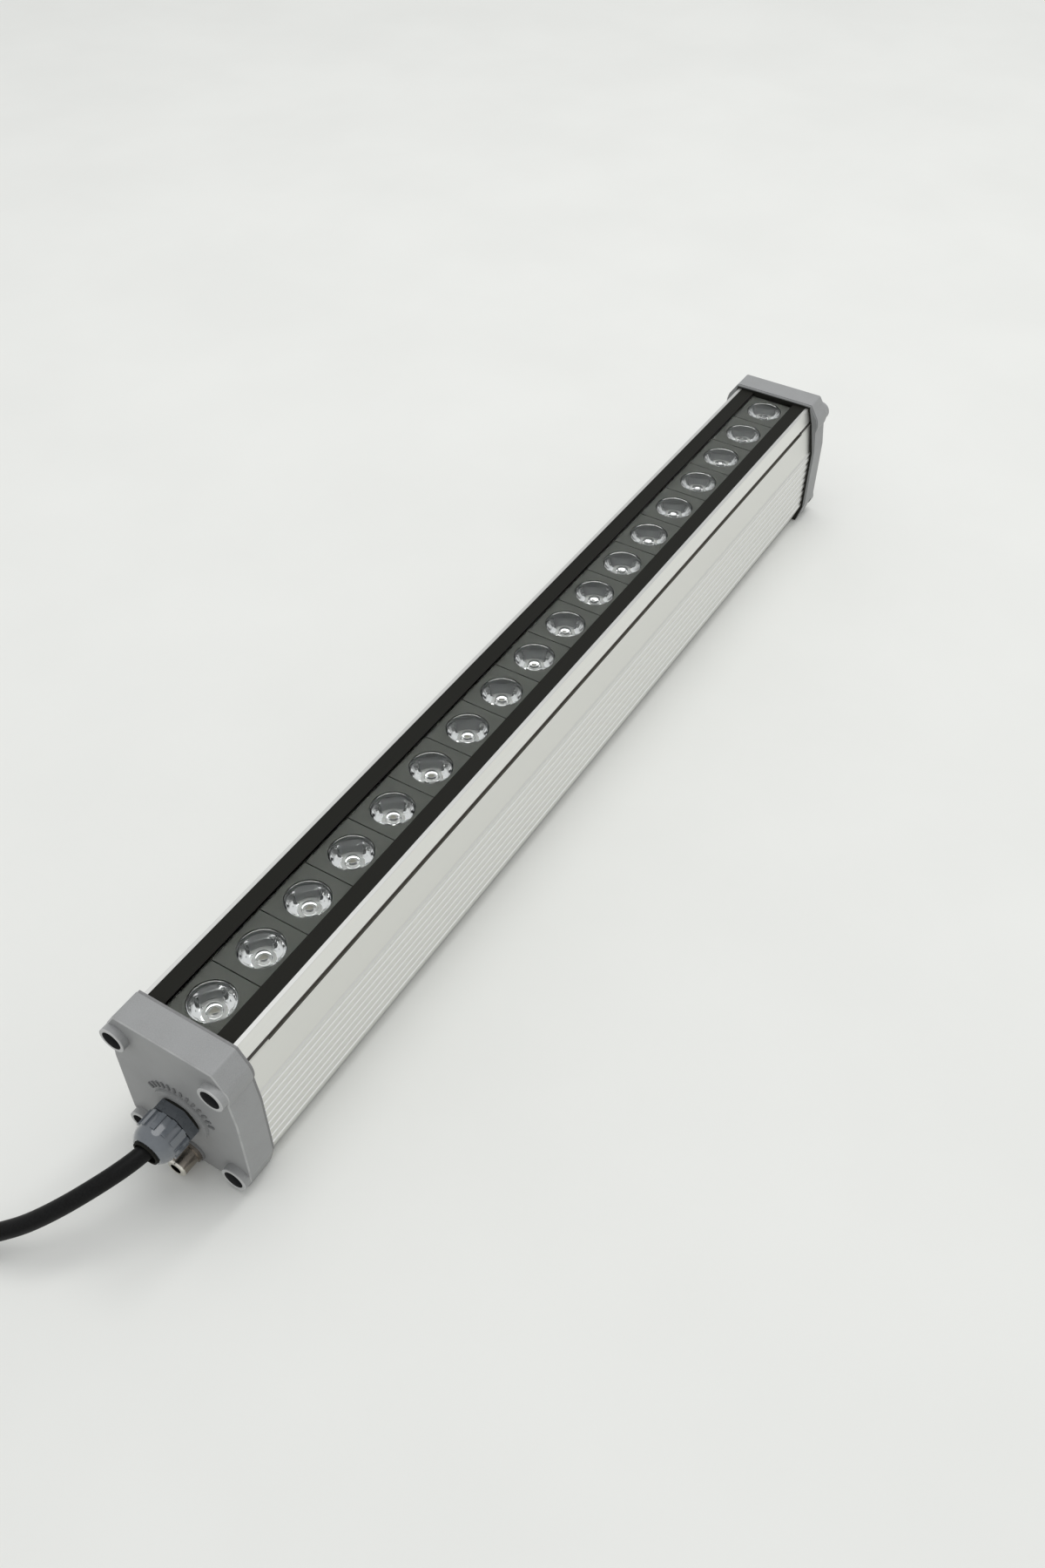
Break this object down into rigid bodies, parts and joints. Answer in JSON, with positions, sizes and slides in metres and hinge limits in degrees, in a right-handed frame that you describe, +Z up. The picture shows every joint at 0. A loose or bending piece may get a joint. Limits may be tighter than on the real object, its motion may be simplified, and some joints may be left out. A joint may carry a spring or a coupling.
{
  "type": "wall washer light",
  "caption": "Linear LED wall washer: a fluted aluminium bar with a row of lenses under glass, grey end caps, a cable gland with its cord, a breather vent and a bracket slot.",
  "frame": {"origin": "middle of the footprint of the light without its cord, on the surface that the end caps stand on", "axes": "+X along the bar from the cable gland to the blind end, +Z up, out of the glass"},
  "size_m": [0.6782, 0.1009, 0.072],
  "materials": {
    "anodised_bar": "satin natural anodised extrusion",
    "cover_glass": "clear flat tempered glass",
    "black_rubber": "matt black extruded rubber",
    "grey_rubber": "matt grey rubber sheet",
    "lens_clear": "clear polished acrylic",
    "charcoal_plate": "matt charcoal moulding",
    "white_board": "white coated metal-core board",
    "emitter": "yellow phosphor over a white package",
    "steel_screw": "plain stainless steel",
    "green_board": "green coated laminate",
    "terminal_grey": "grey nylon",
    "wound_core": "dark ferrite with taped winding",
    "capacitor_can": "dark sleeved can",
    "cap_grey": "fine-textured grey coating",
    "gland_grey": "semi-gloss blue-grey nylon",
    "nickel_plate": "nickel-plated brass, slightly dull",
    "membrane_white": "white vent membrane",
    "black_cord": "matt black rubber jacket",
    "tie_black": "black nylon band",
    "wire_brown": "coloured wire insulation"
  },
  "bodies": {
    "root": {"board_screws": "steel_screw", "cord_cores": "wire_brown", "cord_entry": "black_cord", "cord_tie": "tie_black", "driver_board": "green_board", "driver_capacitors": "capacitor_can", "driver_choke": "wound_core", "driver_transformer": "wound_core", "front_cap_screws": "steel_screw", "front_end_cap": "cap_grey", "front_gasket": "grey_rubber", "gland_body": "gland_grey", "gland_dome_nut": "gland_grey", "gland_locknut": "gland_grey", "gland_seal": "black_rubber", "gland_washer": "black_rubber", "glass_cover": "cover_glass", "glazing_strip_left": "black_rubber", "glazing_strip_right": "black_rubber", "housing_profile": "anodised_bar", "led_board": "white_board", "led_emitters": "emitter", "led_leads": "wire_brown", "lens_01": "lens_clear", "lens_02": "lens_clear", "lens_03": "lens_clear", "lens_04": "lens_clear", "lens_05": "lens_clear", "lens_06": "lens_clear", "lens_07": "lens_clear", "lens_08": "lens_clear", "lens_09": "lens_clear", "lens_10": "lens_clear", "lens_11": "lens_clear", "lens_12": "lens_clear", "lens_13": "lens_clear", "lens_14": "lens_clear", "lens_15": "lens_clear", "lens_16": "lens_clear", "lens_17": "lens_clear", "lens_18": "lens_clear", "lens_holders": "charcoal_plate", "mains_leads": "wire_brown", "power_cord": "black_cord", "power_cord_coil": "black_cord", "rear_cap_screws": "steel_screw", "rear_end_cap": "cap_grey", "rear_gasket": "black_rubber", "terminal_block": "terminal_grey", "vent_body": "nickel_plate", "vent_membrane": "membrane_white", "vent_washer": "black_rubber"}
  },
  "joints": []
}
